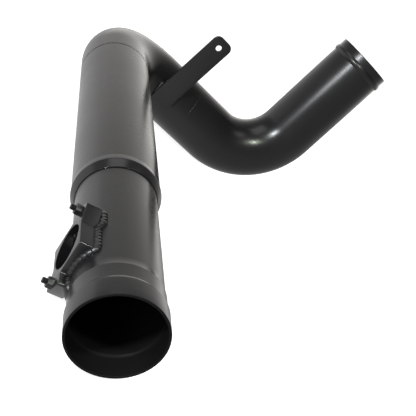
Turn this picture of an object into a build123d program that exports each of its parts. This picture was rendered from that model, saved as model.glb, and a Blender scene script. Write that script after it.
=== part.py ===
from build123d import *
import os
from math import cos, radians, sin, sqrt

os.makedirs("parts", exist_ok=True)

# Cold air intake pipe welded up from tube, a port flange and a strap. All sizes are millimetres.
# The origin is the centre of the inlet mouth. The main tube runs along +Y, the cross leg along +X, and +Z is up.

# Tube sizes
MAIN_OD = 76.2
NECK_STEP = 3.6
WALL = 2.0
BEND_RADIUS = 76.2

# Straight lengths along the run
INLET_LENGTH = 173.0
NECK_OVERLAP = 32.0
MAIN_LENGTH = 282.0
REAR_LEG = 28.0
CROSS_SEAM = 44.0
CROSS_REST = 55.0
OUTLET_LEG = 138.0
OUTLET_LEAN = 5.3

# Inlet mouth, as heights over the inlet tube and lengths from the mouth inwards
LIP_RISE = 1.9
LIP_LAND = 10.0
LIP_ROUND = 0.6
RIDGE_RISE = 2.1
RIDGE_RUN = 9.5
RIDGE_ROUND = 1.0
WAIST_RISE = 0.8
WAIST_RUN = 2.0
SHOULDER_RISE = 0.8
SHOULDER_RUN = 15.0
SHOULDER_FALL = 4.7
SHOULDER_ROUND = 3.0
FLARE_ROUND = 50.0

# Swaged neck at the front of the main tube
NECK_EDGE = 0.8
NECK_LAND = 5.0
NECK_CONE = 8.5
SWELL_RISE = 0.7
SWELL_TAIL = 8.0
SWELL_ROUND = 3.0

# Rolled hose bead on the outlet
BEAD_FROM_END = 13.7
BEAD_LENGTH = 8.4
BEAD_RISE = 1.6
COLLAR_LENGTH = 26.0
END_ROUND = 0.6

# Butt seams between the tubes, bevelled and filled with weld
SEAM_BEVEL = 1.0
REAR_WELD_SUNK = 0.7
CROSS_WELD_SUNK = 0.0

# Port flange on the side of the inlet tube
PORT_AT = 78.5
PORT_DROP = 15.0
PORT_LIFT = 6.75
PORT_THICKNESS = 12.7
PORT_BORE = 36.0
PORT_HALF = 21.3
PORT_CORNER = 2.0
PORT_EDGE = 0.6

# Corners of the two ears, along and over the tube from the middle of the port
EAR_ROOT_ALONG = 5.0
EAR_ROOT_OVER = 8.0
EAR_TOP_ALONG = 19.5
EAR_TOP_OVER = 30.5
EAR_TIP_ALONG = 34.0
EAR_TIP_OVER = 9.5

# Studs and nuts of the port flange
STUD_SPREAD = 59.0
STUD_TWIST = 41.0
STUD_DIAMETER = 5.0
STUD_DEPTH = 9.0
STUD_PROUD = 8.5
STUD_TIP = 0.7
TAP_SPARE = 1.0
NUT_FLATS = 8.0
NUT_HEIGHT = 4.7
NUT_BEVEL = 0.6

# Weld round the port, a closed row of overlapping drops like fallen coins
DROP_RADIUS = 3.8
DROP_TAIL = 3.0
DROP_LENGTH = 5.2
DROP_PITCH = 4.0
DROP_GAP = 4.0
DROP_CORNER = 2.0
DROP_SINK = 0.5

# Strap bracket on the cross leg
STRAP_WIDTH = 27.0
STRAP_THICKNESS = 3.0
STRAP_FROM_BEND = 5.8
STRAP_BELOW = 8.0
STRAP_ABOVE = 107.5
STRAP_CORNER = 8.0
STRAP_FOOT_CORNER = 5.0
STRAP_HOLE = 7.5
STRAP_HOLE_FROM_TOP = 12.5
TACK_RADIUS = 2.8
TACK_TAIL = 2.2
TACK_LENGTH = 4.2
TACK_PITCH = 3.2
TACK_DROPS = 4
TACK_START = 2.5
TACK_OUT = 0.6
TACK_LIFT = 0.5

# Radii and places that follow from the sizes above
MAIN_R = MAIN_OD / 2
BORE_R = MAIN_R - WALL
INLET_R = MAIN_R - NECK_STEP
MAIN_END = INLET_LENGTH + MAIN_LENGTH
CROSS_Y = MAIN_END + REAR_LEG + BEND_RADIUS
SEAM_X = BEND_RADIUS + CROSS_SEAM
OUTLET_X = SEAM_X + CROSS_REST + BEND_RADIUS
OUTLET_WAY = Vector(0, sin(radians(OUTLET_LEAN)), cos(radians(OUTLET_LEAN)))
OUTLET_CORNER = Vector(OUTLET_X, CROSS_Y, 0)
COLLAR_START = OUTLET_CORNER + OUTLET_WAY * (BEND_RADIUS + OUTLET_LEG - COLLAR_LENGTH)
PORT_WAY = Vector(-cos(radians(PORT_DROP)), 0, -sin(radians(PORT_DROP)))
PORT_REACH = INLET_R + PORT_LIFT
PORT_PLANE = Plane(PORT_WAY * PORT_REACH + Vector(0, PORT_AT, 0), x_dir=(0, -1, 0), z_dir=PORT_WAY)
STUD_AT = STUD_SPREAD / 2
STRAP_X = BEND_RADIUS + STRAP_FROM_BEND
STRAP_BACK = CROSS_Y - MAIN_R
FROM_FACE_DOWN = (Align.CENTER, Align.CENTER, Align.MAX)
FROM_FACE_UP = (Align.CENTER, Align.CENTER, Align.MIN)


def ring_between(outer, inner):
    """Turn the band between two side outlines, drawn as radius and height, about the height axis."""
    ends = [Line(outer @ 0, inner @ 0), Line(outer @ 1, inner @ 1)]
    band = make_face([*outer.edges(), *inner.edges(), *ends])
    return revolve(Plane.XZ * band, Axis.Z)


def along_main(part):
    """Lay a turned part along the main tube, with its foot at the mouth."""
    return Rot(-90, 0, 0) * part


def inlet_points(inset):
    """Corners of the inlet tube's side outline at lip, ridge, waist and shoulder, moved in by the inset."""
    radius = INLET_R - inset
    ridge_at = LIP_LAND + RIDGE_RUN
    waist_at = ridge_at + WAIST_RUN
    shoulder_at = waist_at + SHOULDER_RUN
    return [
        (radius + LIP_RISE, 0),
        (radius + LIP_RISE, LIP_LAND),
        (radius + RIDGE_RISE, ridge_at),
        (radius + WAIST_RISE, waist_at),
        (radius + SHOULDER_RISE, shoulder_at),
        (radius, shoulder_at + SHOULDER_FALL),
        (radius, INLET_LENGTH + NECK_OVERLAP),
    ]


def inlet_outside():
    """Outer side outline of the inlet tube with its forming radii."""
    rounds = [FLARE_ROUND, RIDGE_ROUND, RIDGE_ROUND, SHOULDER_ROUND, FLARE_ROUND]
    return FilletPolyline(*inlet_points(0), radius=rounds)


def inlet_tube():
    """Narrow tube with a formed mouth, and the opening that the port flange sits over."""
    tube = along_main(ring_between(inlet_outside(), Polyline(*inlet_points(WALL))))
    tube = fillet(tube.edges().group_by(Axis.Y)[0], LIP_ROUND)
    return tube - PORT_PLANE * Cylinder(PORT_BORE / 2, PORT_REACH, align=FROM_FACE_DOWN)


def main_tube():
    """Straight tube with its front end swaged down on to the inlet tube and its rear end bevelled."""
    crest = INLET_LENGTH + NECK_CONE
    outer = FilletPolyline(
        (INLET_R + NECK_EDGE, INLET_LENGTH),
        (MAIN_R + SWELL_RISE, crest),
        (MAIN_R, crest + SWELL_TAIL),
        (MAIN_R, MAIN_END - SEAM_BEVEL),
        (MAIN_R - SEAM_BEVEL, MAIN_END),
        radius=[SWELL_ROUND, SWELL_ROUND, 0],
    )
    inner = Polyline(
        (INLET_R, INLET_LENGTH),
        (INLET_R, INLET_LENGTH + NECK_LAND),
        (BORE_R, crest + WALL),
        (BORE_R, MAIN_END),
    )
    return along_main(ring_between(outer, inner))


def bent_tube(path):
    """Sweep the round tube section along a path of straights and one bend."""
    start = Plane(path @ 0, z_dir=path % 0)
    return sweep(start * Circle(MAIN_R), path) - sweep(start * Circle(BORE_R), path)


def rear_path():
    """Centre line from the end of the main tube round to the seam in the cross leg."""
    return FilletPolyline((0, MAIN_END, 0), (0, CROSS_Y, 0), (SEAM_X, CROSS_Y, 0), radius=BEND_RADIUS)


def rear_elbow():
    """Square bend from the main tube into the cross leg, bevelled at both seams."""
    elbow = bent_tube(rear_path())
    front = elbow.edges().group_by(Axis.Y)[0].sort_by(SortBy.LENGTH)[-1]
    side = elbow.edges().group_by(Axis.X)[-1].sort_by(SortBy.LENGTH)[-1]
    return chamfer([front, side], SEAM_BEVEL)


def outlet_collar():
    """Straight end of the outlet with a rolled bead that keeps a hose from sliding off."""
    bead_at = COLLAR_LENGTH - BEAD_FROM_END
    half = BEAD_LENGTH / 2

    def wall_line(radius):
        foot = Line((radius, 0), (radius, bead_at - half))
        bead = ThreePointArc(foot @ 1, (radius + BEAD_RISE, bead_at), (radius, bead_at + half))
        return Curve() + [foot, bead, Line(bead @ 1, (radius, COLLAR_LENGTH))]

    collar = ring_between(wall_line(MAIN_R), wall_line(BORE_R))
    collar = fillet(collar.edges().group_by(Axis.Z)[-1], END_ROUND)
    return Plane(COLLAR_START, x_dir=(1, 0, 0), z_dir=OUTLET_WAY) * collar


def outlet_elbow():
    """Bend from the cross leg up into the leaning outlet, with its beaded collar."""
    path = FilletPolyline((SEAM_X, CROSS_Y, 0), OUTLET_CORNER, COLLAR_START, radius=BEND_RADIUS)
    elbow = bent_tube(path)
    seam = elbow.edges().group_by(Axis.X)[0].sort_by(SortBy.LENGTH)[-1]
    return chamfer(seam, SEAM_BEVEL) + outlet_collar()


def seam_weld(place, sunk):
    """Ring of weld in the groove between two bevelled tube ends, sunk a little under the tube surface."""
    depth = SEAM_BEVEL - sunk
    root = MAIN_R - SEAM_BEVEL
    groove = make_face(Polyline((root, 0), (root + depth, -depth), (root + depth, depth), close=True))
    return place * revolve(Plane.XZ * groove, Axis.Z)


def rear_weld():
    """Weld at the root of the seam between the main tube and the rear elbow."""
    return seam_weld(Plane((0, MAIN_END, 0), z_dir=(0, 1, 0)), REAR_WELD_SUNK)


def cross_weld():
    """Weld dressed flush at the seam in the cross leg."""
    return seam_weld(Plane((SEAM_X, CROSS_Y, 0), z_dir=(1, 0, 0)), CROSS_WELD_SUNK)


def port_outline():
    """Square outline of the flange plate, with an ear on two opposite corners."""
    half = [
        (PORT_HALF, PORT_HALF),
        (-EAR_ROOT_ALONG, PORT_HALF),
        (-EAR_TOP_ALONG, EAR_TOP_OVER),
        (-EAR_TIP_ALONG, EAR_TIP_OVER),
        (-PORT_HALF, EAR_ROOT_OVER),
    ]
    corners = half + [(-along, -over) for along, over in half]
    return make_face(Polyline(*corners, close=True))


def inlet_core():
    """Solid bar with the outside of the inlet tube, to saddle the pieces that sit on it."""
    axis = Polyline((0, 0), (0, INLET_LENGTH + NECK_OVERLAP))
    return along_main(ring_between(inlet_outside(), axis))


def stud_places():
    """Places of the two studs on the outer face of the flange."""
    return PORT_PLANE * Rot(0, 0, -STUD_TWIST) * Locations((-STUD_AT, 0), (STUD_AT, 0))


def port_plate():
    """Flange plate with rounded corners and a saddle cut to sit on the inlet tube."""
    outline = port_outline()
    plate = extrude(fillet(outline.vertices(), PORT_CORNER), -PORT_THICKNESS)
    plate = chamfer(plate.faces().sort_by(Axis.Z)[-1].edges(), PORT_EDGE)
    return PORT_PLANE * plate - inlet_core()


def port_flange():
    """Flange plate with its bore and two tapped holes."""
    bore = PORT_PLANE * Cylinder(PORT_BORE / 2, PORT_REACH, align=FROM_FACE_DOWN)
    taps = Cylinder(STUD_DIAMETER / 2, STUD_DEPTH + TAP_SPARE, align=FROM_FACE_DOWN)
    return port_plate() - bore - [place * taps for place in stud_places()]


def drop_row(spots, aims, radius, tail, length):
    """Row of weld drops, each a short cone at its spot that points at its aim and runs into the next drop."""
    drops = [Plane(spot, z_dir=aim - spot) * Cone(radius, tail, length) for spot, aim in zip(spots, aims)]
    return Part() + drops


def port_weld():
    """Row of overlapping weld drops where the flange plate meets the tube, closed round the port."""
    reach = sqrt(INLET_R**2 - (PORT_REACH - PORT_THICKNESS - DROP_GAP) ** 2)
    track = port_outline() & Rectangle(EAR_TIP_ALONG * 4, reach * 2)
    track = offset(fillet(track.vertices(), DROP_CORNER), -DROP_SINK).face().outer_wire()
    count = round(track.length / DROP_PITCH)
    spots = []
    for step in range(count):
        spot = track.position_at(step / count)
        height = sqrt(INLET_R**2 - spot.Y**2) - PORT_REACH
        spots.append(PORT_PLANE.from_local_coords(Vector(spot.X, spot.Y, height)))
    row = drop_row(spots, spots[1:] + spots[:1], DROP_RADIUS, DROP_TAIL, DROP_LENGTH)
    return row - port_plate() - inlet_core()


def port_stud(place):
    """Stud screwed into the flange, with a chamfered tip."""
    stud = Cylinder(STUD_DIAMETER / 2, STUD_DEPTH + STUD_PROUD, align=FROM_FACE_UP)
    tip = stud.edges().group_by(Axis.Z)[-1]
    return place * Pos(0, 0, -STUD_DEPTH) * chamfer(tip, STUD_TIP)


def port_nut(place):
    """Hexagon nut down on the flange, its corners bevelled on the outer side."""
    hexagon = RegularPolygon(NUT_FLATS / 2, 6, major_radius=False)
    nut = extrude(hexagon, NUT_HEIGHT)
    corner_r = hexagon.vertices()[0].center().length
    blank = Cylinder(corner_r, NUT_HEIGHT, align=FROM_FACE_UP)
    blank = chamfer(blank.edges().group_by(Axis.Z)[-1], NUT_BEVEL)
    hole = Cylinder(STUD_DIAMETER / 2, NUT_HEIGHT, align=FROM_FACE_UP)
    return place * ((nut & blank) - hole)


def rear_core():
    """Solid bar along the rear elbow, to fit the strap and its welds to it."""
    path = rear_path()
    return sweep(Plane(path @ 0, z_dir=path % 0) * Circle(MAIN_R), path)


def strap_blank():
    """Flat strap with rounded ends that lies against the front of the cross leg."""
    height = STRAP_BELOW + STRAP_ABOVE
    outline = Rectangle(STRAP_WIDTH, height, align=(Align.CENTER, Align.MIN))
    outline = fillet(outline.vertices().group_by(Axis.Y)[-1], STRAP_CORNER)
    outline = fillet(outline.vertices().group_by(Axis.Y)[0], STRAP_FOOT_CORNER)
    plane = Plane((STRAP_X, STRAP_BACK, -STRAP_BELOW), x_dir=(1, 0, 0), z_dir=(0, -1, 0))
    return plane * extrude(outline, STRAP_THICKNESS) - rear_core()


def strap_bracket():
    """Strap with its bolt hole near the top."""
    hole = Plane((STRAP_X, STRAP_BACK, STRAP_ABOVE - STRAP_HOLE_FROM_TOP), z_dir=(0, -1, 0))
    return strap_blank() - hole * Cylinder(STRAP_HOLE / 2, STRAP_THICKNESS * 2)


def strap_weld(side):
    """Short row of tack drops up one edge of the strap."""
    across = STRAP_X + side * (STRAP_WIDTH / 2 + TACK_OUT)
    spots = []
    for step in range(TACK_DROPS + 1):
        height = TACK_START + step * TACK_PITCH
        surface = CROSS_Y - sqrt(MAIN_R**2 - height**2)
        spots.append(Vector(across, surface - TACK_LIFT, height))
    row = drop_row(spots[:-1], spots[1:], TACK_RADIUS, TACK_TAIL, TACK_LENGTH)
    behind_strap = Pos(STRAP_X, STRAP_BACK, 0) * Box(STRAP_WIDTH, MAIN_R, STRAP_ABOVE)
    return row - behind_strap - rear_core()


nodes = {
    "inlet_tube": inlet_tube(),
    "main_tube": main_tube(),
    "rear_elbow": rear_elbow(),
    "outlet_elbow": outlet_elbow(),
    "rear_weld": rear_weld(),
    "cross_weld": cross_weld(),
    "port_flange": port_flange(),
    "port_weld": port_weld(),
    "strap_bracket": strap_bracket(),
    "strap_weld_left": strap_weld(-1),
    "strap_weld_right": strap_weld(1),
}
for number, place in enumerate(stud_places(), start=1):
    nodes[f"port_stud_{number}"] = port_stud(place)
    nodes[f"port_nut_{number}"] = port_nut(place)

for name, shape in nodes.items():
    export_step(shape, f"parts/{name}.step")
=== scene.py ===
import math

import bmesh
import bpy
from bmesh.types import BMEdge, BMVert
from mathutils import Matrix, Vector


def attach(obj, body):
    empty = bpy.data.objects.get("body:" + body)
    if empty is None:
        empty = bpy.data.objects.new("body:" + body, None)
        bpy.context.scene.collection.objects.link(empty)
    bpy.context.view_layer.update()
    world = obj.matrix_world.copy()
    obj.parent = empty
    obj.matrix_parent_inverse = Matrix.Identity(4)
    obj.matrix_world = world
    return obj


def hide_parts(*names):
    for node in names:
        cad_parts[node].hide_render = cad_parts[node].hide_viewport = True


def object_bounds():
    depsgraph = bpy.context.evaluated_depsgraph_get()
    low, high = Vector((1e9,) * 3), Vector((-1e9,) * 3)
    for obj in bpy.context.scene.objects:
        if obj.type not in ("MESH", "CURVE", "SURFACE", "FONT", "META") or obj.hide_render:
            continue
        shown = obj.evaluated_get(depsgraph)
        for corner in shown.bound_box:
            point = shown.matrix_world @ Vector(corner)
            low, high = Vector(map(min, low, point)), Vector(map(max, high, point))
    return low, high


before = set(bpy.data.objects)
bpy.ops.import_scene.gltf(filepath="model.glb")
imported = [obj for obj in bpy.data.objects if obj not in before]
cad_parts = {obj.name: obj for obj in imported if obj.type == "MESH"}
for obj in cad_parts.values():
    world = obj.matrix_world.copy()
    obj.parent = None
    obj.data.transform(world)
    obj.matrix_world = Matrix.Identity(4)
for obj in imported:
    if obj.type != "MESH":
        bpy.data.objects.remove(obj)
CAD_BOX = [list(corner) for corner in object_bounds()]

bl_info = {
    "name": "Cold air intake pipe",
    "version": (1, 0, 0),
    "blender": (4, 5, 0),
    "location": "3D View > Sidebar > Intake Pipe",
    "description": "Dresses a welded, black coated intake pipe and sets it on a white floor",
    "category": "Object",
}

# Frame axes, and the turn that lays Z along the main tube
X_AXIS = Vector((1, 0, 0))
Y_AXIS = Vector((0, 1, 0))
Z_AXIS = Vector((0, 0, 1))
ORIGIN = Vector((0, 0, 0))
QUARTER_TURN = math.pi / 2
FULL_TURN = math.pi * 2
ALONG_MAIN = Matrix.Rotation(-QUARTER_TURN, 4, "X")

# Smoothness of round shapes, and the angle from which an edge stays crisp
TUBE_SIDES = 128
SMALL_SIDES = 48
NUT_SIDES = 6
BEND_STEPS = 48
BEAD_STEPS = 12
ROUND_STEPS = 5
EDGE_STEPS = 3
CRISP_ANGLE = math.radians(32)
MERGE_DISTANCE = 1e-5

# Weld drops: each ring's share of the way from the tail's radius to the front's, how far the
# rings lean out, and how an open bead narrows at its ends
DROP_SWELL = (1.0, 0.92, 0.7, 0.38, 0.0)
DROP_LEAN = 0.35
BEAD_SIDES = 18
END_TAPER = (0.85, 0.62, 0.3)

# Angles round the cross leg, from its front upwards, where dressing left some of the seam's bead
CRESTS = ((math.radians(8), math.radians(12)), (math.radians(20), math.radians(41)))

# Noises in the grain of a coat: waves in a metre, and detail
GRAIN = {"Waves": (400.0, 2.0), "Bloom size": (16.0, 4.0), "Pits": (900.0, 1.0)}

# Height that the pits add to the waves, pits for each wave, depth of the grain in metres, and
# the bloom between which the gloss changes
PIT_SHARE = 0.35
PITS_PER_WAVE = 2.3
GRAIN_DEPTH = 0.0003
BLOOM_RANGE = (0.3, 0.7)

# Studio: roughness of the floor, X in metres between which its reflection fades from left to
# right, width of the camera's sensor in millimetres, and how far it sees in metres
WHITE = (1.0, 1.0, 1.0)
FLOOR_ROUGHNESS = 0.9
FLOOR_FADE = (-0.1, 0.3)
SENSOR_WIDTH = 36
CLIP_END = 20

# Lamps: way from the pipe in the picture (right, up, towards the camera), distance and side in
# metres, and colour
LAMPS = {
    "lamp": ((-0.265, 0.35, 0.898), 1.375, 0.14, (0.93, 0.96, 1.0)),
    "top_light": ((0.0, 0.94, 0.34), 1.53, 0.9, WHITE),
    "right_light": ((0.73, 0.59, 0.36), 1.5, 0.5, WHITE),
    "side_lamp": ((0.414, 0.319, 0.852), 1.39, 0.14, (0.93, 1.0, 0.86)),
}


def number(name, words, value, precision=3, **more):
    """Property for a number, such as a share or a strength."""
    return bpy.props.FloatProperty(
        name=name, description=words, default=value, precision=precision, **more)


def length(name, words, millimetres):
    """Property for a length, given in millimetres and kept in metres."""
    return number(name, words, millimetres / 1000, precision=5, unit="LENGTH")


def turn(name, words, degrees):
    """Property for an angle, given in degrees."""
    return number(name, words, math.radians(degrees), unit="ROTATION")


def watts(name, words, value):
    """Property for the power of a lamp."""
    return number(name, words, value, unit="POWER")


def vector(name, words, value, **more):
    """Property for three numbers that belong together."""
    return bpy.props.FloatVectorProperty(name=name, description=words, default=value, **more)


def tint(name, words, value):
    """Property for a linear colour."""
    return vector(name, words, value, subtype="COLOR", size=3)


def heading(name, words, value):
    """Property for a direction in the frame."""
    return vector(name, words, value, subtype="DIRECTION")


class TubeSizes(bpy.types.PropertyGroup):
    """Sizes of the tubes, their seams and the hose ends"""

    radius: length("Radius", "Outer radius of the main tube and the elbows", 38.1)
    inlet_radius: length("Inlet radius", "Outer radius of the inlet tube", 34.5)
    wall: length("Wall", "Wall of every tube", 2.0)
    bend: length("Bend", "Radius of both bends on the centre line", 76.2)
    inlet: length("Inlet length", "Length of the inlet tube in front of the neck", 173.0)
    overlap: length("Overlap", "Length of the inlet tube inside the neck", 32.0)
    main: length("Main length", "Length of the main tube", 282.0)
    rear_leg: length("Rear leg", "Straight of the rear elbow before its bend", 28.0)
    cross_seam: length("Cross seam", "Straight from the rear bend to the cross seam", 44.0)
    cross_rest: length("Cross rest", "Straight from the cross seam to the outlet bend", 55.0)
    outlet_leg: length("Outlet leg", "Straight from the outlet bend to the outlet rim", 138.0)
    lean: turn("Lean", "Lean of the outlet away from upright", 5.3)
    lip_rise: length("Lip rise", "Height of the lip over the inlet tube", 1.9)
    lip_land: length("Lip land", "Straight part of the lip", 10.0)
    lip_round: length("Lip round", "Rounding of the mouth's edges", 0.6)
    ridge_rise: length("Ridge rise", "Height of the ridge behind the lip", 2.1)
    ridge_round: length("Ridge round", "Rounding of the ridge and of the step behind it", 3.0)
    ridge_run: length("Ridge run", "Length from the lip to the ridge", 9.5)
    waist_rise: length("Waist rise", "Height of the waist behind the ridge", 0.8)
    waist_run: length("Waist run", "Length from the ridge to the waist", 2.0)
    shoulder_rise: length("Shoulder rise", "Height of the shoulder behind the waist", 0.8)
    shoulder_run: length("Shoulder run", "Length from the waist to the shoulder", 15.0)
    shoulder_round: length("Shoulder round", "Rounding of the shoulder", 3.0)
    flare_round: length("Flare round", "Rounding where the flare and the lip run out", 50.0)
    shoulder_fall: length("Shoulder fall", "Length over which the shoulder runs out", 4.7)
    neck_edge: length("Neck edge", "Thickness of the neck at its front edge", 0.8)
    neck_round: length("Neck round", "Rounding of the neck's front edge", 0.2)
    neck_land: length("Neck land", "Length of the neck that grips the inlet tube", 5.0)
    neck_cone: length("Neck cone", "Length of the neck's cone", 8.5)
    swell_rise: length("Swell rise", "Height of the swell behind the cone", 0.7)
    swell_round: length("Swell round", "Rounding of the swell", 3.0)
    swell_tail: length("Swell tail", "Length over which the swell runs out", 8.0)
    seam_bevel: length("Seam bevel", "Bevel of the tube ends at a seam", 1.0)
    crest_radius: length("Crest radius", "Size of the bead left on the dressed cross seam", 0.5)
    crest_tail: length("Crest tail", "Size of that bead at the end of each drop", 0.32)
    crest_sunk: length("Crest sunk", "Depth of that bead's middle under the tube surface", 0.15)
    crest_step: length("Crest step", "Length from one ring of that bead to the next", 0.7)
    rear_weld_sunk: length("Rear weld sunk", "Depth of the rear weld under the tube surface", 0.7)
    bead_from_end: length("Bead from end", "Middle of the hose bead from the outlet rim", 13.7)
    bead_length: length("Bead length", "Length of the hose bead", 8.4)
    bead_rise: length("Bead rise", "Height of the hose bead", 1.6)
    end_round: length("End round", "Rounding of the outlet rim", 0.6)


class PortSizes(bpy.types.PropertyGroup):
    """Sizes of the port flange, its weld and its fasteners"""

    at: length("Place", "Middle of the port from the mouth", 78.5)
    drop: turn("Drop", "Angle of the port below level", 15.0)
    lift: length("Lift", "Height of the plate's face over the inlet tube", 6.75)
    thickness: length("Thickness", "Thickness of the plate", 12.7)
    bore: length("Bore", "Radius of the port's bore", 18.0)
    half: length("Half", "Half of the side of the plate's square body", 21.3)
    ear_root_along: length("Ear root along", "Start of an ear along the tube from the middle", 5.0)
    ear_root_over: length("Ear root over", "Start of an ear over the tube from the middle", 8.0)
    ear_top_along: length("Ear top along", "Upper corner of an ear along the tube", 19.5)
    ear_top_over: length("Ear top over", "Upper corner of an ear over the tube", 30.5)
    ear_tip_along: length("Ear tip along", "Outer corner of an ear along the tube", 34.0)
    ear_tip_over: length("Ear tip over", "Outer corner of an ear over the tube", 9.5)
    corner: length("Corner", "Rounding of the plate's corners", 2.0)
    edge: length("Edge", "Bevel round the plate's face", 0.6)
    bore_edge: length("Bore edge", "Bevel of the bore's mouth", 0.3)
    stud_spread: length("Stud spread", "Distance from one stud to the other", 59.0)
    stud_twist: turn("Stud twist", "Turn of the line through the studs on the tube", 41.0)
    stud: length("Stud", "Outer radius of the stud's thread", 2.5)
    thread_pitch: length("Thread pitch", "Rise of the thread in one turn", 0.8)
    thread_depth: length("Thread depth", "Depth of the thread", 0.45)
    stud_depth: length("Stud depth", "Length of the stud in the plate", 9.0)
    stud_proud: length("Stud proud", "Length of the stud over the face", 8.5)
    stud_tip: length("Stud tip", "Bevel of the stud's tip", 0.7)
    nut_flats: length("Nut flats", "Half of the nut across its flats", 4.0)
    nut_height: length("Nut height", "Height of the nut", 4.7)
    nut_bevel: length("Nut bevel", "Bevel of the nut's corners", 0.6)
    drop_radius: length("Drop radius", "Radius of a weld drop at its front", 3.8)
    drop_tail: length("Drop tail", "Radius of a weld drop at its tail", 3.0)
    drop_pitch: length("Drop pitch", "Distance from one weld drop to the next", 4.0)
    drop_gap: length("Drop gap", "Gap under the plate that the weld still bridges", 4.0)
    drop_corner: length("Drop corner", "Rounding of the weld's track", 2.0)
    drop_sink: length("Drop sink", "Depth of the weld's middle inside the plate's edge", 0.5)


class StrapSizes(bpy.types.PropertyGroup):
    """Sizes of the strap bracket and its tack welds"""

    width: length("Width", "Width of the strap", 27.0)
    thickness: length("Thickness", "Thickness of the strap", 3.0)
    from_bend: length("From bend", "Middle of the strap from the end of the rear bend", 5.8)
    below: length("Below", "Length of the strap below the cross leg's axis", 8.0)
    above: length("Above", "Length of the strap above the cross leg's axis", 107.5)
    corner: length("Corner", "Rounding of the strap's top corners", 8.0)
    foot_corner: length("Foot corner", "Rounding of the strap's lower corners", 5.0)
    edge: length("Edge", "Rounding of the strap's sheared edges", 0.35)
    hole: length("Hole", "Radius of the bolt hole", 3.75)
    hole_from_top: length("Hole from top", "Middle of the bolt hole from the strap's top", 12.5)
    tack_radius: length("Tack radius", "Radius of a tack drop at its front", 2.8)
    tack_tail: length("Tack tail", "Radius of a tack drop at its tail", 2.2)
    tack_pitch: length("Tack pitch", "Distance from one tack drop to the next", 3.2)
    tack_start: length("Tack start", "Height of the first tack drop", 2.5)
    tack_out: length("Tack out", "Middle of the tack weld outside the strap's edge", 0.6)
    tack_lift: length("Tack lift", "Middle of the tack weld off the tube", 0.5)
    tack_drops: bpy.props.IntProperty(
        name="Tack drops", description="Drops in each tack weld", default=4)


class CoatLook(bpy.types.PropertyGroup):
    """Finish of the black coat and of the fasteners"""

    coat: tint("Coat", "Colour of the powder coat", (0.004, 0.0041, 0.0043))
    coat_haze: tint("Coat haze", "Colour of the paler bloom in the coat", (0.0075, 0.0078, 0.0082))
    plate: tint("Plating", "Colour of the blackened fasteners", (0.05, 0.05, 0.052))
    plate_dark: tint("Dull plating", "Colour of their duller places", (0.018, 0.018, 0.019))
    plate_gloss: number("Plating gloss", "Roughness of the plating", 0.34)
    gloss: number("Gloss", "Roughness of the coat on the tubes", 0.28)
    weld_gloss: number("Weld gloss", "Roughness of the coat on the welds", 0.36)
    # Bore colours are painted shade: a darker copy of the coat for the inside of the mouth and its
    # rim
    bore: tint("Bore", "Colour of the thin coat inside the mouth", (0.0035, 0.0035, 0.0035))
    bore_shade_haze: tint("Bore haze", "Colour of that coat in its paler places", (0.006, 0.006, 0.006))
    bore_gloss: number("Bore gloss", "Roughness of that coat on the rim and inside", 0.6)
    peel: number("Peel", "Strength of the coat's orange peel", 0.05)
    peel_size: number("Peel size", "Orange peel waves in a metre", 420.0)


class StageLook(bpy.types.PropertyGroup):
    """Camera, floor and light of the studio"""

    place: vector("Camera", "Where the camera stands", (-0.2523, -0.4217, 0.253), unit="LENGTH")
    aim: heading("Camera aim", "Way that the camera looks", (0.4442, 0.8484, -0.2879))
    side: heading("Camera side", "Way to the right of the picture", (0.6687, -0.1001, 0.7368))
    lens: number("Lens", "Focal length", 71.0, unit="CAMERA")
    floor_white: tint("Floor", "Colour of the floor", (0.93, 0.93, 0.93))
    floor_reach: length("Floor reach", "Half of the floor's side", 4000.0)
    floor_glow: number("Floor glow", "Light that the floor gives of itself", 0.88)
    floor_left: number("Floor left", "Brightness of the floor in reflections at the left", 0.95)
    floor_right: number("Floor right", "Brightness of the floor in reflections at the right", 0.46)
    seen_white: number("Seen white", "Brightness of the surround for the camera", 1.2)
    far_light: number("Far light", "Brightness of the surround beyond the pipe", 2.8)
    near_light: number("Near light", "Brightness of the surround on the camera's side", 0.24)
    low_light: number("Low light", "Light that the surround gains at the picture's foot", 0.42)
    low_falloff: number("Low falloff", "How fast that gain fades towards the picture's top", 2.0)
    right_shade: number("Right shade", "Share of the surround left at the picture's right", 0.3)
    falloff: number("Falloff", "How fast the surround darkens towards the camera's side", 5.5)
    right_falloff: number("Right falloff", "How late the surround darkens towards the right", 3.0)
    warmth: tint("Warmth", "Colour of the surround in reflections", (1.0, 0.98, 0.945))
    lamp: watts("Lamp", "Power of the lamp above the camera's left", 15.0)
    side_lamp: watts("Side lamp", "Power of the lamp above the camera's right", 8.0)
    top_light: watts("Top light", "Power of the broad light above the picture", 3.4)
    right_light: watts("Right light", "Power of the broad light at the upper right", 1.0)


class IntakePipe(bpy.types.PropertyGroup):
    """All sizes and looks of the intake pipe"""

    tube: bpy.props.PointerProperty(type=TubeSizes)
    port: bpy.props.PointerProperty(type=PortSizes)
    strap: bpy.props.PointerProperty(type=StrapSizes)
    coat: bpy.props.PointerProperty(type=CoatLook)
    stage: bpy.props.PointerProperty(type=StageLook)


def sizes():
    """The sizes and looks that the operators read."""
    return bpy.context.scene.intake_pipe


# Places that follow from the sizes

def main_end():
    """Distance of the rear seam from the mouth."""
    tube = sizes().tube
    return tube.inlet + tube.main


def cross_y():
    """Distance of the cross leg's axis from the mouth."""
    tube = sizes().tube
    return main_end() + tube.rear_leg + tube.bend


def cross_seam():
    """Middle of the seam in the cross leg."""
    tube = sizes().tube
    return Vector((tube.bend + tube.cross_seam, cross_y(), 0))


def port_reach():
    """Distance of the port's face from the tube axis."""
    return sizes().tube.inlet_radius + sizes().port.lift


def axes_at(place, axes):
    """Placing with its X, Y and Z along the three ways given."""
    return Matrix.Translation(place) @ Matrix(axes).transposed().to_4x4()


def facing(place, direction):
    """Placing with its Z along a direction."""
    return Matrix.Translation(place) @ direction.to_track_quat("Z", "Y").to_matrix().to_4x4()


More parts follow.
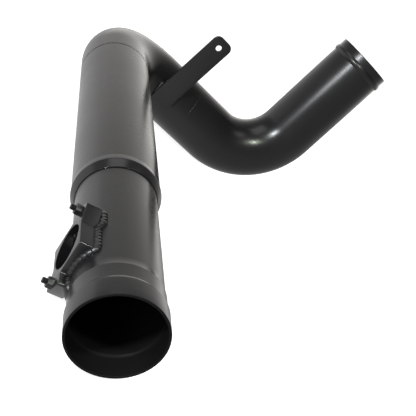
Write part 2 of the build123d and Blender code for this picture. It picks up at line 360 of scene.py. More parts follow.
def port_matrix():
    """Placing of the port's face: its Z points out of the port, its X at the mouth."""
    port = sizes().port
    out = Vector((-math.cos(port.drop), 0, -math.sin(port.drop)))
    ahead = -Y_AXIS
    return axes_at(out * port_reach() + Y_AXIS * port.at, (ahead, out.cross(ahead), out))


def stud_spots():
    """Middles of the two studs on the port's face, in the face's own axes."""
    port = sizes().port
    reach = port.stud_spread / 2
    along = Vector((math.cos(port.stud_twist), -math.sin(port.stud_twist), 0))
    return [along * -reach, along * reach]


# Shapes

def add_object(name, data):
    """New object in the scene."""
    thing = bpy.data.objects.new(name, data)
    bpy.context.scene.collection.objects.link(thing)
    return thing


def mesh_object(name, bm):
    """Object with the shape of a bmesh, which is used up."""
    mesh = bpy.data.meshes.new(name)
    bm.to_mesh(mesh)
    bm.free()
    return add_object(name, mesh)


def add_piece(node, bm, *coats, slot="black_coat"):
    """Turn a bmesh into a smooth piece that stands for a CAD node and rides on the frame."""
    bmesh.ops.recalc_face_normals(bm, faces=bm.faces)
    piece = mesh_object(f"{node}_dressed", bm)
    piece.data.shade_smooth()
    piece.data.set_sharp_from_angle(angle=CRISP_ANGLE)
    for coat in coats:
        piece.data.materials.append(finish(coat))
    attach(piece, "root")
    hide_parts(node)


def clean(bm):
    """Merge doubled vertices and take out what has no size."""
    bmesh.ops.remove_doubles(bm, verts=bm.verts, dist=MERGE_DISTANCE)
    bmesh.ops.dissolve_degenerate(bm, edges=bm.edges, dist=MERGE_DISTANCE)


def round_off(bm, geom, offset, affect, segments):
    """Round vertices or edges."""
    bmesh.ops.bevel(bm, geom=geom, offset=offset, offset_type="OFFSET", affect=affect,
                    segments=segments, profile=0.5, material=-1)


def outline_face(bm, corners, radii):
    """Flat face through the corners, each rounded to its radius where it has one."""
    points = [Vector(corner) for corner in corners]
    verts = [bm.verts.new(point) for point in points]
    bm.faces.new(verts)
    for index, radius in enumerate(radii):
        if radius:
            arriving = points[index] - points[index - 1]
            leaving = points[(index + 1) % len(points)] - points[index]
            setback = radius * math.tan(arriving.angle(leaving) / 2)
            round_off(bm, [verts[index]], setback, "VERTICES", ROUND_STEPS)


def thicken(bm, step):
    """Make a slab of a flat face."""
    made = bmesh.ops.extrude_face_region(bm, geom=bm.faces[:], use_keep_orig=True)["geom"]
    bmesh.ops.translate(bm, vec=step, verts=picked(made, BMVert))
    bmesh.ops.recalc_face_normals(bm, faces=bm.faces)


def trim(bm, spot, outward):
    """Take away what lies beyond a plane, and give the edges of the cut."""
    geom = bm.verts[:] + bm.edges[:] + bm.faces[:]
    made = bmesh.ops.bisect_plane(bm, geom=geom, clear_outer=True, plane_co=spot, plane_no=outward)
    return picked(made["geom_cut"], BMEdge)


def turned(corners, sides, radii=()):
    """Body of revolution about Z from a closed side outline of radius and height."""
    bm = bmesh.new()
    outline_face(bm, [(radius, 0, height) for radius, height in corners], radii)
    bmesh.ops.delete(bm, geom=bm.faces[:], context="FACES_ONLY")
    bmesh.ops.spin(bm, geom=bm.verts[:] + bm.edges[:], cent=ORIGIN, axis=Z_AXIS, angle=FULL_TURN,
                   steps=sides, use_merge=True)
    clean(bm)
    bmesh.ops.recalc_face_normals(bm, faces=bm.faces)
    return bm


def placed(bm, matrix):
    """Move a shape to its place."""
    bmesh.ops.transform(bm, matrix=matrix, verts=bm.verts)
    return bm


def picked(items, kind):
    """Items of one kind among the geometry that an operator gives back."""
    return [item for item in items if isinstance(item, kind)]


def ring_verts(edges):
    """Vertices of a ring of edges, each once and in a fixed order."""
    return list(dict.fromkeys(vert for edge in edges for vert in edge.verts))


def rim(bm, centre, direction, radius, sides=TUBE_SIDES):
    """Open ring of edges that a tube wall grows from."""
    made = bmesh.ops.create_circle(bm, cap_ends=False, segments=sides, radius=radius,
                                   matrix=facing(centre, direction))
    return list(dict.fromkeys(edge for vert in made["verts"] for edge in vert.link_edges))


def grow(bm, edges, step, scale=1.0):
    """Grow a tube wall from a ring by one step, and widen or narrow its new end."""
    old = ring_verts(edges)
    middle = sum((vert.co for vert in old), Vector()) / len(old)
    made = bmesh.ops.extrude_edge_only(bm, edges=edges)["geom"]
    verts = picked(made, BMVert)
    bmesh.ops.scale(bm, vec=Vector([scale] * 3), space=Matrix.Translation(-middle), verts=verts)
    bmesh.ops.translate(bm, vec=step, verts=verts)
    new = set(verts)
    return [edge for edge in picked(made, BMEdge) if new.issuperset(edge.verts)]


def run_wall(bm, ring, way, stations):
    """Grow a tube wall through heights and radii along a straight."""
    for (low, narrow), (high, wide) in zip(stations, stations[1:]):
        ring = grow(bm, ring, way * (high - low), wide / narrow)
    return ring


def bend(bm, edges, centre, axis):
    """Carry a ring round a square bend."""
    made = bmesh.ops.spin(bm, geom=ring_verts(edges) + edges, cent=centre, axis=axis,
                          angle=QUARTER_TURN, steps=BEND_STEPS)
    return picked(made["geom_last"], BMEdge)


def cut(bm, tool, operation="DIFFERENCE"):
    """Combine two closed shapes and give the result as a new bmesh."""
    for shape in (bm, tool):
        bmesh.ops.recalc_face_normals(shape, faces=shape.faces)
    body, cutter = mesh_object("blank", bm), mesh_object("blank", tool)
    modifier = body.modifiers.new("cut", "BOOLEAN")
    modifier.operation = operation
    modifier.object = cutter
    modifier.solver = "EXACT"
    bpy.context.view_layer.update()
    shown = body.evaluated_get(bpy.context.evaluated_depsgraph_get())
    mesh = bpy.data.meshes.new_from_object(shown)
    result = bmesh.new()
    result.from_mesh(mesh)
    clean(result)
    for used in (mesh, body.data, cutter.data):
        bpy.data.meshes.remove(used)
    if not result.faces:
        raise RuntimeError("a cut left nothing")
    return result


def drill(radius, low, high, edge, matrix, sides=SMALL_SIDES):
    """Round cutter along Z from a low to a high end, flared from the face at Z of nought."""
    wide = radius + edge
    outline = [(0, low), (radius, low), (radius, -edge), (wide, 0), (wide, high), (0, high)]
    return placed(turned(outline, sides), matrix)


def bead_along(spots, outs, front, tail, closed):
    """Weld bead through the spots, slumped drop by drop, its rings leaning off the surface."""
    bm = bmesh.new()
    count = len(spots)
    rings = []
    for index, spot in enumerate(spots):
        ahead = spots[(index + 1) % count] if closed else spots[min(index + 1, count - 1)]
        behind = spots[index - 1] if closed else spots[max(index - 1, 0)]
        way = (ahead - behind).normalized() + outs[index] * DROP_LEAN
        swell = DROP_SWELL[index % len(DROP_SWELL)]
        rings.append(rim(bm, spot, way, tail + (front - tail) * swell, BEAD_SIDES))
    for first, second in zip(rings, rings[1:]):
        bmesh.ops.bridge_loops(bm, edges=first + second)
    if closed:
        bmesh.ops.bridge_loops(bm, edges=rings[-1] + rings[0])
        return bm
    for ring, step in ((rings[0], spots[0] - spots[1]), (rings[-1], spots[-1] - spots[-2])):
        for scale in END_TAPER:
            ring = grow(bm, ring, step, scale)
        bmesh.ops.edgeloop_fill(bm, edges=ring)
    return bm


# Finishes

def feed(tree, node, inputs):
    """Set each input of a node to its constant, or link it to the output that feeds it."""
    for key, value in inputs.items():
        if isinstance(value, bpy.types.NodeSocket):
            tree.links.new(value, node.inputs[key])
        else:
            node.inputs[key].default_value = value


def add_node(tree, kind, inputs, **settings):
    """New node with its settings and its inputs."""
    node = tree.nodes.new(kind)
    for name, value in settings.items():
        setattr(node, name, value)
    feed(tree, node, inputs)
    return node


def reckon(tree, operation, *values):
    """Output of a sum with two or three values."""
    node = add_node(tree, "ShaderNodeMath", dict(enumerate(values)), operation=operation)
    return node.outputs["Value"]


def map_range(tree, value, source, target, **settings):
    """Output that runs over the target as a value runs over the source."""
    inputs = {"Value": value, "From Min": source[0], "From Max": source[1],
              "To Min": target[0], "To Max": target[1]}
    return add_node(tree, "ShaderNodeMapRange", inputs, **settings).outputs["Result"]


def new_material(name):
    """New material, its node tree and the shader that it starts with."""
    material = bpy.data.materials.new(name)
    material.use_nodes = True
    return material, material.node_tree, material.node_tree.nodes["Principled BSDF"]


def coat_grain_group():
    """Shared grain of a sprayed or plated surface: fine waves, slow bloom and small pits."""
    group = bpy.data.node_groups.new("coat_grain", "ShaderNodeTree")
    for name, (scale, _) in GRAIN.items():
        socket = group.interface.new_socket(name, in_out="INPUT", socket_type="NodeSocketFloat")
        socket.default_value = scale
    for name in ("Height", "Bloom"):
        group.interface.new_socket(name, in_out="OUTPUT", socket_type="NodeSocketFloat")
    take = group.nodes.new("NodeGroupInput").outputs
    place = group.nodes.new("ShaderNodeTexCoord").outputs["Object"]
    waves, bloom, pits = (
        add_node(group, "ShaderNodeTexNoise", {
            "Vector": place, "Scale": take[name], "Detail": detail}).outputs["Fac"]
        for name, (_, detail) in GRAIN.items()
    )
    height = reckon(group, "MULTIPLY_ADD", pits, PIT_SHARE, waves)
    add_node(group, "NodeGroupOutput", {"Height": height, "Bloom": bloom})
    return group


def grained_material(name, dark, pale, roughness, spread,
                     metallic=0.0, specular=0.5, finer=1, stronger=1):
    """Finish with bloom in its colour, uneven gloss and a fine orange peel.

    The peel is so many times finer and stronger than on the tubes.
    """
    look = sizes().coat
    material, tree, shader = new_material(name)
    waves = look.peel_size * finer
    grain = add_node(
        tree, "ShaderNodeGroup", {"Waves": waves, "Pits": waves * PITS_PER_WAVE},
        node_tree=bpy.data.node_groups.get("coat_grain") or coat_grain_group())
    bloom = grain.outputs["Bloom"]
    colours = {"Factor": bloom, "A": (*dark, 1), "B": (*pale, 1)}
    colour = add_node(tree, "ShaderNodeMix", colours, data_type="RGBA")
    gloss = map_range(tree, bloom, BLOOM_RANGE, (roughness - spread, roughness + spread))
    bump = add_node(tree, "ShaderNodeBump", {
        "Height": grain.outputs["Height"], "Distance": GRAIN_DEPTH,
        "Strength": look.peel * stronger})
    feed(tree, shader, {
        "Base Color": colour.outputs["Result"], "Roughness": gloss, "Metallic": metallic,
        "Specular IOR Level": specular, "Normal": bump.outputs["Normal"]})
    return material


def finish(name):
    """Finish by its name, made the first time that it is asked for."""
    look = sizes().coat
    powder = {"dark": look.coat, "pale": look.coat_haze}
    # Darker colours for the inside of the mouth and its rim: painted shade
    shade_painted = {"dark": look.bore, "pale": look.bore_shade_haze}
    plating = {"dark": look.plate_dark, "pale": look.plate}
    recipes = {
        "tube_coat": {**powder, "roughness": look.gloss, "spread": 0.03},
        "weld_coat": {**powder, "roughness": look.weld_gloss, "spread": 0.05,
                      "finer": 2, "stronger": 2},
        # Darker copy of the coat with weaker reflection: painted shade inside the mouth and on its
        # rim
        "bore_coat": {**shade_painted, "roughness": look.bore_gloss, "spread": 0.05, "specular": 0.1},
        "black_steel": {**plating, "roughness": look.plate_gloss, "spread": 0.08,
                        "metallic": 0.8, "finer": 3},
    }
    return bpy.data.materials.get(name) or grained_material(name, **recipes[name])


# Operators, one for each piece or group of like pieces

def inlet_side(inset):
    """Corners of the inlet tube's side, moved in by the inset, and the radius that rounds each."""
    tube = sizes().tube
    radius = tube.inlet_radius - inset
    ridge = tube.lip_land + tube.ridge_run
    waist = ridge + tube.waist_run
    shoulder = waist + tube.shoulder_run
    corners = [
        (radius + tube.lip_rise, 0),
        (radius + tube.lip_rise, tube.lip_land),
        (radius + tube.ridge_rise, ridge),
        (radius + tube.waist_rise, waist),
        (radius + tube.shoulder_rise, shoulder),
        (radius, shoulder + tube.shoulder_fall),
        (radius, tube.inlet + tube.overlap),
    ]
    flare, ridge = tube.flare_round, tube.ridge_round
    return corners, [tube.lip_round, flare, ridge, ridge, tube.shoulder_round, flare, 0]


class INTAKE_OT_inlet_tube(bpy.types.Operator):
    """Inlet tube with its formed mouth and the opening under the port"""

    bl_idname = "intake.inlet_tube"
    bl_label = "Inlet tube"

    def execute(self, context):
        tube, port = sizes().tube, sizes().port
        outer, outer_radii = inlet_side(0)
        inner, inner_radii = inlet_side(tube.wall)
        body = turned(outer + inner[::-1], TUBE_SIDES, outer_radii + inner_radii[::-1])
        opening = drill(port.bore, -port_reach(), port.lift, 0, port_matrix(), TUBE_SIDES)
        body = cut(placed(body, ALONG_MAIN), opening)
        body.normal_update()
        # Faces inside the mouth and on its rim take the darker coat, which paints their shade
        for face in body.faces:
            spot = face.calc_center_median()
            inward = face.normal.dot(Vector((spot.x, 0, spot.z))) < 0
            face.material_index = int(inward or spot.y < tube.lip_round)
        add_piece("inlet_tube", body, "tube_coat", "bore_coat")
        return {"FINISHED"}


class INTAKE_OT_main_tube(bpy.types.Operator):
    """Main tube with its swaged neck and bevelled rear end"""

    bl_idname = "intake.main_tube"
    bl_label = "Main tube"

    def execute(self, context):
        tube = sizes().tube
        crest = tube.inlet + tube.neck_cone
        bore = tube.radius - tube.wall
        outline = [
            (tube.inlet_radius + tube.neck_edge, tube.inlet),
            (tube.radius + tube.swell_rise, crest),
            (tube.radius, crest + tube.swell_tail),
            (tube.radius, main_end() - tube.seam_bevel),
            (tube.radius - tube.seam_bevel, main_end()),
            (bore, main_end()),
            (bore, crest + tube.wall),
            (tube.inlet_radius, tube.inlet + tube.neck_land),
            (tube.inlet_radius, tube.inlet),
        ]
        radii = [tube.neck_round, tube.swell_round, tube.swell_round]
        body = placed(turned(outline, TUBE_SIDES, radii), ALONG_MAIN)
        add_piece("main_tube", body, "tube_coat")
        return {"FINISHED"}


def elbow(start, way_in, way_out, straight, outer_out, inner_out):
    """Closed wall of a bent tube, run out along its outside and back along its inside.

    The straight is the length before the bend. The two lists give the heights along the way out
    and the radius at each.
    """
    tube = sizes().tube
    radius, bore, bevel = tube.radius, tube.radius - tube.wall, tube.seam_bevel
    centre = start + way_in * straight + way_out * tube.bend
    root = (0, radius - bevel)
    bm = bmesh.new()
    ring = rim(bm, start, way_in, radius - bevel)
    ring = run_wall(bm, ring, way_in, [root, (bevel, radius), (straight, radius)])
    ring = bend(bm, ring, centre, way_in.cross(way_out))
    ring = run_wall(bm, ring, way_out, outer_out + inner_out)
    ring = bend(bm, ring, centre, way_out.cross(way_in))
    run_wall(bm, ring, way_in, [(straight, bore), (0, bore), root])
    bmesh.ops.remove_doubles(bm, verts=bm.verts, dist=MERGE_DISTANCE)
    return bm


class INTAKE_OT_rear_elbow(bpy.types.Operator):
    """Rear elbow from the main tube into the cross leg"""

    bl_idname = "intake.rear_elbow"
    bl_label = "Rear elbow"

    def execute(self, context):
        tube = sizes().tube
        radius, bore, seam = tube.radius, tube.radius - tube.wall, tube.cross_seam
        outer = [(0, radius), (seam - tube.seam_bevel, radius), (seam, radius - tube.seam_bevel)]
        inner = [(seam, bore), (0, bore)]
        bm = elbow(Y_AXIS * main_end(), Y_AXIS, X_AXIS, tube.rear_leg, outer, inner)
        add_piece("rear_elbow", bm, "tube_coat")
        return {"FINISHED"}


def outlet_wall(radius, sign):
    """Heights and radii of the outlet's straight wall, with the bead's arc and a rounded rim."""
    tube = sizes().tube
    half = tube.bead_length / 2
    arc = (half ** 2 + tube.bead_rise ** 2) / (2 * tube.bead_rise)
    bead_at = tube.outlet_leg - tube.bead_from_end
    wall = [(0, radius)]
    for step in range(BEAD_STEPS + 1):
        offset = tube.bead_length * step / BEAD_STEPS - half
        rise = math.sqrt(arc ** 2 - offset ** 2) - arc + tube.bead_rise
        wall.append((bead_at + offset, radius + rise))
    for step in range(ROUND_STEPS + 1):
        angle = QUARTER_TURN * step / ROUND_STEPS
        height = tube.outlet_leg - tube.end_round * (1 - math.sin(angle))
        wall.append((height, radius + sign * tube.end_round * (1 - math.cos(angle))))
    return wall


class INTAKE_OT_outlet_elbow(bpy.types.Operator):
    """Outlet elbow with its rolled hose bead"""

    bl_idname = "intake.outlet_elbow"
    bl_label = "Outlet elbow"

    def execute(self, context):
        tube = sizes().tube
        upward = Vector((0, math.sin(tube.lean), math.cos(tube.lean)))
        outer = outlet_wall(tube.radius, -1)
        inner = outlet_wall(tube.radius - tube.wall, 1)[::-1]
        bm = elbow(cross_seam(), X_AXIS, upward, tube.cross_rest, outer, inner)
        add_piece("outlet_elbow", bm, "tube_coat")
        return {"FINISHED"}


def seam_crest(start, end):
    """Part of the cross seam's bead that still stands up, between two angles round the leg."""
    tube = sizes().tube
    steps = math.ceil((end - start) * tube.radius / tube.crest_step)
    turns = [start + (end - start) * step / steps for step in range(steps + 1)]
    outs = [Vector((0, -math.cos(angle), math.sin(angle))) for angle in turns]
    spots = [cross_seam() + out * (tube.radius - tube.crest_sunk) for out in outs]
    return bead_along(spots, outs, tube.crest_radius, tube.crest_tail, False)


class INTAKE_OT_seam_welds(bpy.types.Operator):
    """Weld rings in the grooves of the two butt seams, with the rest of the cross seam's bead"""

    bl_idname = "intake.seam_welds"
    bl_label = "Seam welds"

    def execute(self, context):
        tube = sizes().tube
        root = tube.radius - tube.seam_bevel
        at_rear = Matrix.Translation(Y_AXIS * main_end()) @ ALONG_MAIN
        at_cross = Matrix.Translation(cross_seam()) @ Matrix.Rotation(QUARTER_TURN, 4, "Y")
        for node, matrix, sunk, crests in (
            ("rear_weld", at_rear, tube.rear_weld_sunk, ()),
            ("cross_weld", at_cross, 0, CRESTS),
        ):
            depth = tube.seam_bevel - sunk
            body = turned([(root, 0), (root + depth, -depth), (root + depth, depth)], TUBE_SIDES)
            body = placed(body, matrix)
            for start, end in crests:
                body = cut(body, seam_crest(start, end), "UNION")
            add_piece(node, body, "weld_coat")
        return {"FINISHED"}


def plate_corners():
    """Corners of the square flange plate with its two ears, in the axes of the port's face."""
    port = sizes().port
    half = [
        Vector((port.half, port.half, 0)),
        Vector((-port.ear_root_along, port.half, 0)),
        Vector((-port.ear_top_along, port.ear_top_over, 0)),
        Vector((-port.ear_tip_along, port.ear_tip_over, 0)),
        Vector((-port.half, port.ear_root_over, 0)),
    ]
    return half + [-corner for corner in half]


def flange_plate():
    """Thick plate with rounded corners and a bevelled face, its face at Z of nought."""
    port = sizes().port
    bm = bmesh.new()
    corners = plate_corners()
    outline_face(bm, corners, [port.corner] * len(corners))
    face_edges = bm.edges[:]
    thicken(bm, -Z_AXIS * port.thickness)
    round_off(bm, face_edges, port.edge, "EDGES", EDGE_STEPS)
    return bm


class INTAKE_OT_port_flange(bpy.types.Operator):
    """Port flange with its saddle, bore and tapped holes"""

    bl_idname = "intake.port_flange"
    bl_label = "Port flange"

    def execute(self, context):
        port = sizes().port
        place = port_matrix()
        side, radii = inlet_side(0)
        foot, top = side[0][1], side[-1][1]
        saddle = placed(turned(side + [(0, top), (0, foot)], TUBE_SIDES, radii), ALONG_MAIN)
        bore = drill(port.bore, -port_reach(), port.lift, port.bore_edge, place, TUBE_SIDES)
        body = cut(cut(placed(flange_plate(), place), saddle), bore)
        for spot in stud_spots():
            at_stud = place @ Matrix.Translation(spot)
            body = cut(body, drill(port.stud, -port.stud_depth, port.lift, 0, at_stud))
        add_piece("port_flange", body, "tube_coat")
        return {"FINISHED"}


def weld_track():
    """Corners of the weld's closed track on the port's face, just inside the plate's edge."""
    tube, port = sizes().tube, sizes().port
    depth = port_reach() - port.thickness - port.drop_gap
    reach = math.sqrt(tube.inlet_radius ** 2 - depth ** 2)
    bm = bmesh.new()
    bm.faces.new([bm.verts.new(corner) for corner in plate_corners()])
    for side in (-1, 1):
        trim(bm, Y_AXIS * side * reach, Y_AXIS * side)
    bm.faces.ensure_lookup_table()
    clipped = [vert.co.copy() for vert in bm.faces[0].verts]
    bmesh.ops.delete(bm, geom=bm.verts[:], context="VERTS")
    outline_face(bm, clipped, [port.drop_corner] * len(clipped))
    bmesh.ops.inset_region(bm, faces=bm.faces[:], thickness=port.drop_sink, use_boundary=True,
                           use_even_offset=True)
    inner = max(bm.faces, key=lambda face: face.calc_area())
    corners = [vert.co.copy() for vert in inner.verts]
    bm.free()
    return corners


def even_points(corners, pitch):
    """Points along a closed loop, with a whole number of drops and the drop's steps in each."""
    runs = [(end - start).length for start, end in zip(corners, corners[1:] + corners[:1])]
    count = round(sum(runs) / pitch) * len(DROP_SWELL)
    step = sum(runs) / count
    points = []
    travelled = 0.0
    for index, run in enumerate(runs):
        start, end = corners[index], corners[(index + 1) % len(corners)]
        while len(points) < count and len(points) * step < travelled + run:
            points.append(start.lerp(end, (len(points) * step - travelled) / run))
        travelled += run
    return points


class INTAKE_OT_port_weld(bpy.types.Operator):
    """Rippled weld bead round the port flange"""

    bl_idname = "intake.port_weld"
    bl_label = "Port weld"

    def execute(self, context):
        tube, port = sizes().tube, sizes().port
        place = port_matrix()
        spots, outs = [], []
        for flat in even_points(weld_track(), port.drop_pitch):
            height = math.sqrt(tube.inlet_radius ** 2 - flat.y ** 2) - port_reach()
            spot = place @ Vector((flat.x, flat.y, height))
            spots.append(spot)
            outs.append(Vector((spot.x, 0, spot.z)).normalized())
        bm = bead_along(spots, outs, port.drop_radius, port.drop_tail, True)
        add_piece("port_weld", bm, "weld_coat")
        return {"FINISHED"}


def threaded_stud():
    """Stud with a helical thread and a bevelled tip, standing through Z of nought."""
    port = sizes().port
    low, high, tip = -port.stud_depth, port.stud_proud, port.stud_tip
    start = low - 2 * port.thread_pitch
    ridges = math.ceil((high - start) / port.thread_pitch) + 1
    bm = bmesh.new()
    zigzag = []
    for index in range(ridges * 2 + 1):
        radius = port.stud - port.thread_depth * (index % 2)
        zigzag.append(bm.verts.new((radius, 0, start + index * port.thread_pitch / 2)))
    edges = [bm.edges.new(pair) for pair in zip(zigzag, zigzag[1:])]
    bmesh.ops.spin(bm, geom=zigzag + edges, cent=ORIGIN, axis=Z_AXIS, angle=FULL_TURN,
                   steps=SMALL_SIDES, dvec=Z_AXIS * port.thread_pitch / SMALL_SIDES)
    bmesh.ops.remove_doubles(bm, verts=bm.verts, dist=MERGE_DISTANCE)
    for height, side in ((low, -1), (high, 1)):
        bmesh.ops.edgeloop_fill(bm, edges=trim(bm, Z_AXIS * height, Z_AXIS * side))
    below, wide = low - tip, port.stud + tip
    shoulder = high - 2 * tip
    blank = [(0, below), (wide, below), (wide, shoulder), (port.stud - tip, high), (0, high)]
    return cut(bm, turned(blank, SMALL_SIDES), "INTERSECT")


def hexagon_nut():
    """Hexagon nut with bevelled corners and a countersunk thread, standing on Z of nought."""
    port = sizes().port
    half_flat = math.pi / NUT_SIDES
    corner = port.nut_flats / math.cos(half_flat)
    bevel, top = port.nut_bevel, port.nut_height
    bm = bmesh.new()
    bmesh.ops.create_circle(bm, cap_ends=True, segments=NUT_SIDES, radius=corner)
    thicken(bm, Z_AXIS * top)
    placed(bm, Matrix.Rotation(half_flat - port.stud_twist, 4, "Z"))
    barrel = [(0, 0), (corner - bevel / 2, 0), (corner, bevel / 2),
              (corner, top - bevel), (corner - bevel, top), (0, top)]
    bm = cut(bm, turned(barrel, SMALL_SIDES), "INTERSECT")
    thread = port.stud - port.thread_depth / 2
    sink = Matrix.Translation(Z_AXIS * top)
    return cut(bm, drill(thread, -top * 2, top, port.thread_depth, sink))


class INTAKE_OT_port_fasteners(bpy.types.Operator):
    """Threaded studs and hexagon nuts of the port"""

    bl_idname = "intake.port_fasteners"
    bl_label = "Port studs and nuts"

    def execute(self, context):
        for count, spot in enumerate(stud_spots(), start=1):
            place = port_matrix() @ Matrix.Translation(spot)
            for kind, shape in (("stud", threaded_stud()), ("nut", hexagon_nut())):
                node = f"port_{kind}_{count}"
                add_piece(node, placed(shape, place), "black_steel", slot="dark_fastener")
        return {"FINISHED"}


def strap_x():
    """Place of the strap along the cross leg."""
    return sizes().tube.bend + sizes().strap.from_bend


class INTAKE_OT_strap_bracket(bpy.types.Operator):
    """Flat strap bracket with a rounded top and a bolt hole"""

    bl_idname = "intake.strap_bracket"
    bl_label = "Strap bracket"

    def execute(self, context):
        tube, strap = sizes().tube, sizes().strap
        back = cross_y() - tube.radius
        left, right = strap_x() - strap.width / 2, strap_x() + strap.width / 2
        corners = [(left, back, -strap.below), (right, back, -strap.below),
                   (right, back, strap.above), (left, back, strap.above)]
        bm = bmesh.new()
        outline_face(bm, corners, [strap.foot_corner] * 2 + [strap.corner] * 2)
        thicken(bm, -Y_AXIS * strap.thickness)
        sharp = [edge for edge in bm.edges if edge.calc_face_angle(0) > CRISP_ANGLE]
        round_off(bm, sharp, strap.edge, "EDGES", EDGE_STEPS)
        front = Vector((strap_x(), back - strap.thickness, strap.above - strap.hole_from_top))
        hole_way = Matrix.Translation(front) @ Matrix.Rotation(QUARTER_TURN, 4, "X")
        depth = strap.thickness * 2
        body = cut(bm, drill(strap.hole, -depth, strap.thickness, strap.edge, hole_way))
        add_piece("strap_bracket", body, "tube_coat")
        return {"FINISHED"}


class INTAKE_OT_strap_welds(bpy.types.Operator):
    """Tack welds up the two edges of the strap"""

    bl_idname = "intake.strap_welds"
    bl_label = "Strap welds"

    def execute(self, context):
        tube, strap = sizes().tube, sizes().strap
        steps = strap.tack_drops * len(DROP_SWELL)
        for node, side in (("strap_weld_left", -1), ("strap_weld_right", 1)):
            across = strap_x() + side * (strap.width / 2 + strap.tack_out)
            spots, outs = [], []
            for step in range(steps):
                height = strap.tack_start + strap.tack_pitch * step / len(DROP_SWELL)
                depth = math.sqrt(tube.radius ** 2 - height ** 2)
                spots.append(Vector((across, cross_y() - depth - strap.tack_lift, height)))
                outs.append(Vector((0, -depth, height)).normalized())
            bm = bead_along(spots, outs, strap.tack_radius, strap.tack_tail, False)
            add_piece(node, bm, "weld_coat")
        return {"FINISHED"}


# Studio

def camera_axes():
    """The picture's right and up ways and the way back to the camera."""
    stage = sizes().stage
    back = -Vector(stage.aim).normalized()
    up = back.cross(Vector(stage.side)).normalized()
    return up.cross(back), up, back


def studio_way(right, up, back):
    """Way in the frame that is so far right, up and towards the camera in the picture."""
    axes = camera_axes()
    return (axes[0] * right + axes[1] * up + axes[2] * back).normalized()


def by_direction(tree, towards, power, first, last):
    """Value that runs from first to last, by a power, as a direction turns towards another."""
    coords = tree.nodes.new("ShaderNodeTexCoord")
    ways = {0: coords.outputs["Generated"], 1: towards}
    cosine = add_node(tree, "ShaderNodeVectorMath", ways, operation="DOT_PRODUCT")
    nearness = map_range(tree, cosine.outputs["Value"], (-1, 1), (0, 1))
    return map_range(tree, reckon(tree, "POWER", nearness, power), (0, 1), (first, last))


def seen_or_mirrored(tree, seen, mirrored):
    """Shader that differs for the camera and for all other rays."""
    path = tree.nodes.new("ShaderNodeLightPath")
    shaders = {"Fac": path.outputs["Is Camera Ray"], 1: mirrored, 2: seen}
    return add_node(tree, "ShaderNodeMixShader", shaders).outputs["Shader"]


def white_world():
    """Surround that the camera sees white, and that mirrors darker near it and at the right."""
    stage = sizes().stage
    world = bpy.data.worlds.new("studio_white")
    world.use_nodes = True
    bpy.context.scene.world = world
    tree = world.node_tree
    tree.nodes.clear()
    right, up, back = camera_axes()
    depth = by_direction(tree, -back, stage.falloff, stage.near_light, stage.far_light)
    foot = by_direction(tree, -up, stage.low_falloff, 0.0, stage.low_light)
    shade = by_direction(tree, right, stage.right_falloff, 1.0, stage.right_shade)
    level = reckon(tree, "MULTIPLY", reckon(tree, "ADD", depth, foot), shade)
    seen, mirrored = (
        add_node(tree, "ShaderNodeBackground", {"Color": (*colour, 1), "Strength": strength})
        for colour, strength in ((WHITE, stage.seen_white), (stage.warmth, level))
    )
    surface = seen_or_mirrored(tree, seen.outputs["Background"], mirrored.outputs["Background"])
    add_node(tree, "ShaderNodeOutputWorld", {"Surface": surface})


def floor_material():
    """Floor that glows white for the camera, and that mirrors brighter at the left."""
    stage = sizes().stage
    material, tree, shader = new_material("floor_white")
    feed(tree, shader, {
        "Base Color": (*stage.floor_white, 1), "Roughness": FLOOR_ROUGHNESS,
        "Emission Color": (*WHITE, 1), "Emission Strength": stage.floor_glow})
    coords = tree.nodes.new("ShaderNodeTexCoord")
    spot = add_node(tree, "ShaderNodeSeparateXYZ", {"Vector": coords.outputs["Object"]})
    level = map_range(tree, spot.outputs["X"], FLOOR_FADE, (stage.floor_left, stage.floor_right),
                      interpolation_type="SMOOTHSTEP")
    mirrored = add_node(tree, "ShaderNodeEmission", {"Strength": level})
    surface = seen_or_mirrored(tree, shader.outputs["BSDF"], mirrored.outputs["Emission"])
    feed(tree, tree.nodes["Material Output"], {"Surface": surface})
    return material


def studio_lamp(name, towards, distance, side, power, colour):
    """Square soft lamp that looks at the middle of the pipe."""
    light = bpy.data.lights.new(name, "AREA")
    light.size = side
    light.energy = power
    light.color = colour
    low, high = (Vector(corner) for corner in CAD_BOX)
    lamp = add_object(name, light)
    lamp.matrix_world = facing((low + high) / 2 + towards * distance, towards)


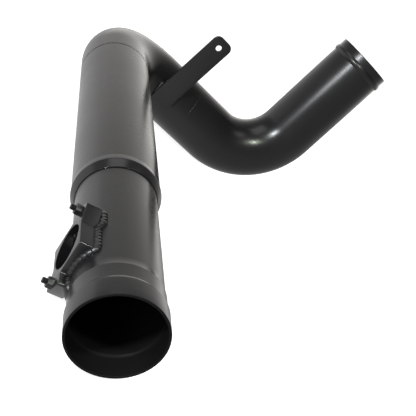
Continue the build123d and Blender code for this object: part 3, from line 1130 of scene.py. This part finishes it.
class INTAKE_OT_stage(bpy.types.Operator):
    """White studio floor, surround, soft lights and the camera of the photograph"""

    bl_idname = "intake.stage"
    bl_label = "Studio"

    def execute(self, context):
        stage = sizes().stage
        bm = bmesh.new()
        bmesh.ops.create_grid(bm, x_segments=1, y_segments=1, size=stage.floor_reach,
                              matrix=Matrix.Translation(Z_AXIS * CAD_BOX[0][2]))
        floor = mesh_object("floor", bm)
        floor.data.materials.append(floor_material())
        white_world()
        for name, (towards, distance, side, colour) in LAMPS.items():
            studio_lamp(name, studio_way(*towards), distance, side, getattr(stage, name), colour)
        camera = bpy.data.cameras.new("camera")
        camera.lens = stage.lens
        camera.sensor_width = SENSOR_WIDTH
        camera.clip_end = CLIP_END
        eye = add_object("camera", camera)
        eye.matrix_world = axes_at(stage.place, camera_axes())
        context.scene.camera = eye
        context.scene.view_settings.view_transform = "Standard"
        return {"FINISHED"}


class INTAKE_PT_panel(bpy.types.Panel):
    """Sidebar list of the pipe's pieces"""

    bl_idname = "INTAKE_PT_panel"
    bl_label = "Intake Pipe"
    bl_space_type = "VIEW_3D"
    bl_region_type = "UI"
    bl_category = "Intake Pipe"

    def draw(self, context):
        for piece in PIECES:
            self.layout.operator(piece.bl_idname)


PIECES = (
    INTAKE_OT_inlet_tube,
    INTAKE_OT_main_tube,
    INTAKE_OT_rear_elbow,
    INTAKE_OT_outlet_elbow,
    INTAKE_OT_seam_welds,
    INTAKE_OT_port_flange,
    INTAKE_OT_port_weld,
    INTAKE_OT_port_fasteners,
    INTAKE_OT_strap_bracket,
    INTAKE_OT_strap_welds,
    INTAKE_OT_stage,
)
CLASSES = (TubeSizes, PortSizes, StrapSizes, CoatLook, StageLook, IntakePipe,
           *PIECES, INTAKE_PT_panel)


def register():
    """Register the classes and hang the sizes on the scene."""
    for item in CLASSES:
        bpy.utils.register_class(item)
    bpy.types.Scene.intake_pipe = bpy.props.PointerProperty(type=IntakePipe)


def unregister():
    """Take the sizes and the classes away again."""
    del bpy.types.Scene.intake_pipe
    for item in reversed(CLASSES):
        bpy.utils.unregister_class(item)


def main():
    """Build every piece and the studio."""
    register()
    bpy.ops.intake.inlet_tube()
    bpy.ops.intake.main_tube()
    bpy.ops.intake.rear_elbow()
    bpy.ops.intake.outlet_elbow()
    bpy.ops.intake.seam_welds()
    bpy.ops.intake.port_flange()
    bpy.ops.intake.port_weld()
    bpy.ops.intake.port_fasteners()
    bpy.ops.intake.strap_bracket()
    bpy.ops.intake.strap_welds()
    bpy.ops.intake.stage()
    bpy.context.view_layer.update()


if __name__ == "__main__":
    main()
